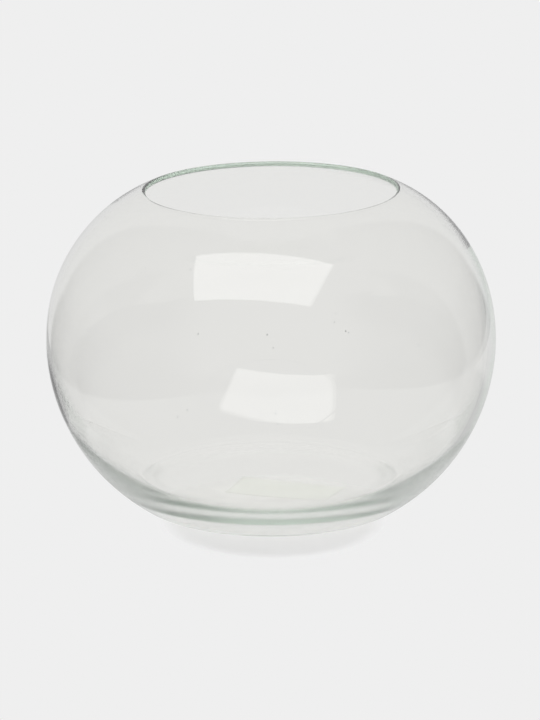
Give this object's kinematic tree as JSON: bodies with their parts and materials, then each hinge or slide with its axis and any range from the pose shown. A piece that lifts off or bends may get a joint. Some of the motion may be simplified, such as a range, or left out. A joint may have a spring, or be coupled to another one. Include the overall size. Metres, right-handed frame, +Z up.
{
  "type": "rose bowl vase",
  "caption": "Round clear glass rose bowl with a wide mouth, rounded lip and flat foot ring, for flowers or a candle, with a plain label under the base.",
  "frame": {"origin": "centre of the foot ring on the ground", "axes": "+Z up along the bowl's axis; -Y towards the picture's viewer, +X to the viewer's right"},
  "size_m": [0.2, 0.2, 0.14],
  "materials": {
    "clear_glass": "clear, fire-polished, faint green in the thick edges",
    "label_paper": "matt off-white paper, blank"
  },
  "bodies": {
    "root": {"glass_bowl": "clear_glass", "base_label": "label_paper"}
  },
  "joints": []
}
